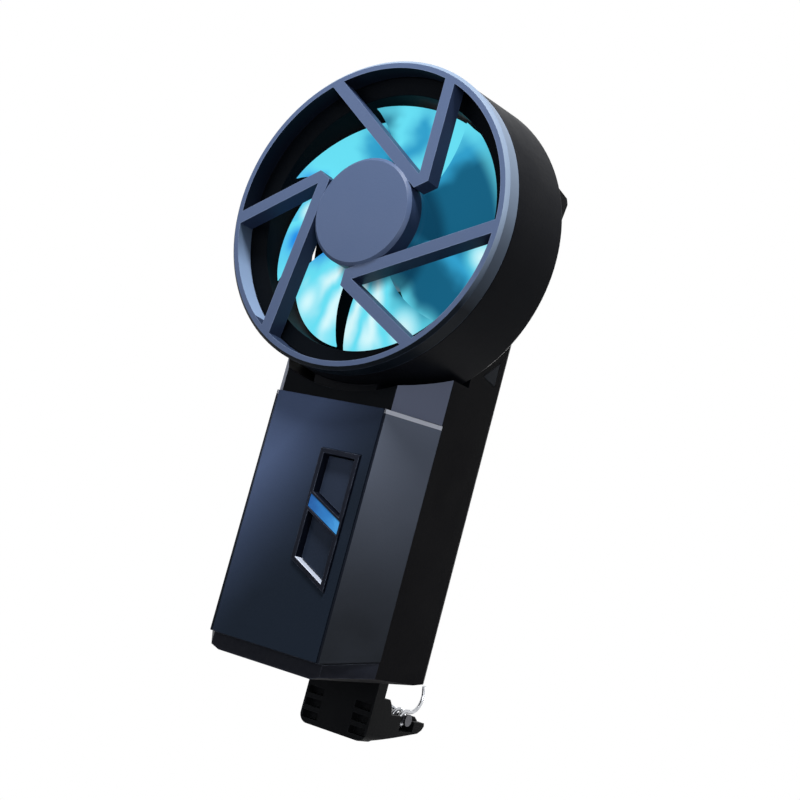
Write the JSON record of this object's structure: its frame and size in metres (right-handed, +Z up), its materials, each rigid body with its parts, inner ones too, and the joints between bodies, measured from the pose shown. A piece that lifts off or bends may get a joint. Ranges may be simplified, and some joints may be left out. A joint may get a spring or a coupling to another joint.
{
  "type": "phone cooling fan",
  "caption": "Clip-on cooling fan for a phone: round lit fan head on a bevelled battery body, with a sprung sliding clamp behind it.",
  "frame": {"origin": "on the soft pad of the clamp bar, where the phone's back rests, in the middle of the part's width", "axes": "+Z up the long axis to the fan head, +Y out of the pad towards the phone, +X to the right as seen from the fan's front"},
  "size_m": [0.0384, 0.0355, 0.0773],
  "materials": {
    "grille_slate": "satin slate blue paint",
    "black_plastic": "fine matte black",
    "blade_clear": "translucent, lit cyan from behind",
    "navy_panel": "satin navy",
    "cover_grey": "satin dark grey",
    "key_black": "dark, slightly glossy",
    "lit_blue": "clear blue light guide",
    "mark_grey": "satin grey",
    "jaw_black": "fine matte black",
    "pad_rubber": "soft matte black",
    "spring_steel": "bright drawn wire",
    "screw_steel": "dark zinc",
    "motor_steel": "plain steel",
    "magnet_dark": "bonded ferrite",
    "bearing_bronze": "sintered bronze",
    "copper_wire": "enamelled copper",
    "board_green": "solder mask",
    "chip_black": "moulded black",
    "led_white": "clear cap",
    "usb_steel": "nickel plated",
    "cell_foil": "foil pouch",
    "tape_white": "double sided tape",
    "lead_black": "insulated lead"
  },
  "bodies": {
    "frame": {"front_grille": "grille_slate", "drum_housing": "black_plastic", "air_duct": "black_plastic", "rear_guard": "black_plastic", "guard_screws": "screw_steel", "bearing_sleeve": "bearing_bronze", "stator_core": "motor_steel", "stator_windings": "copper_wire", "motor_board": "board_green", "blade_leds": "led_white", "fan_lead": "lead_black", "body_housing": "black_plastic", "front_cover": "cover_grey", "front_panel": "navy_panel", "side_mark": "mark_grey", "neck_screws": "screw_steel", "key_frame": "key_black", "light_bar": "lit_blue", "tact_switches": "chip_black", "bar_led": "led_white", "main_board": "board_green", "board_chips": "chip_black", "board_screws": "screw_steel", "usb_inlet": "usb_steel", "battery": "cell_foil", "battery_tape": "tape_white", "clamp_bar": "black_plastic", "bar_lid": "black_plastic", "bar_screws": "screw_steel", "guide_screw": "screw_steel", "grip_pad": "pad_rubber", "hook_pad": "pad_rubber", "return_spring": "spring_steel"},
    "rotor": {"impeller": "blade_clear", "rotor_yoke": "motor_steel", "magnet_ring": "magnet_dark", "rotor_shaft": "motor_steel"},
    "jaw": {"jaw_plate": "jaw_black", "foot_pad": "pad_rubber", "finger_pin": "spring_steel"},
    "finger": {"wire_finger": "spring_steel"},
    "upper_key": {"power_key": "key_black"},
    "lower_key": {"speed_key": "key_black"}
  },
  "joints": [
    {"name": "fan_spin", "type": "hinge", "parent": "frame", "child": "rotor", "pos_m": [0, -0.019, 0.017], "axis": [0, 1, 0], "continuous": true},
    {"name": "jaw_slide", "type": "slide", "parent": "frame", "child": "jaw", "axis": [0, 0, -1], "range_m": [0, 0.021], "stiffness_N_per_m": 150, "springref_m": -0.02, "deforming": ["return_spring"]},
    {"name": "finger_flex", "type": "hinge", "parent": "jaw", "child": "finger", "pos_m": [0.0032, 0.0043, -0.03789], "axis": [-1, 0, 0], "range_deg": [0, 20], "stiffness_Nm_per_rad": 0.03},
    {"name": "power_press", "type": "slide", "parent": "frame", "child": "upper_key", "axis": [0, 1, 0], "range_m": [0, 0.0004], "stiffness_N_per_m": 500, "springref_m": -0.0002},
    {"name": "speed_press", "type": "slide", "parent": "frame", "child": "lower_key", "axis": [0, 1, 0], "range_m": [0, 0.0004], "stiffness_N_per_m": 500, "springref_m": -0.0002}
  ]
}
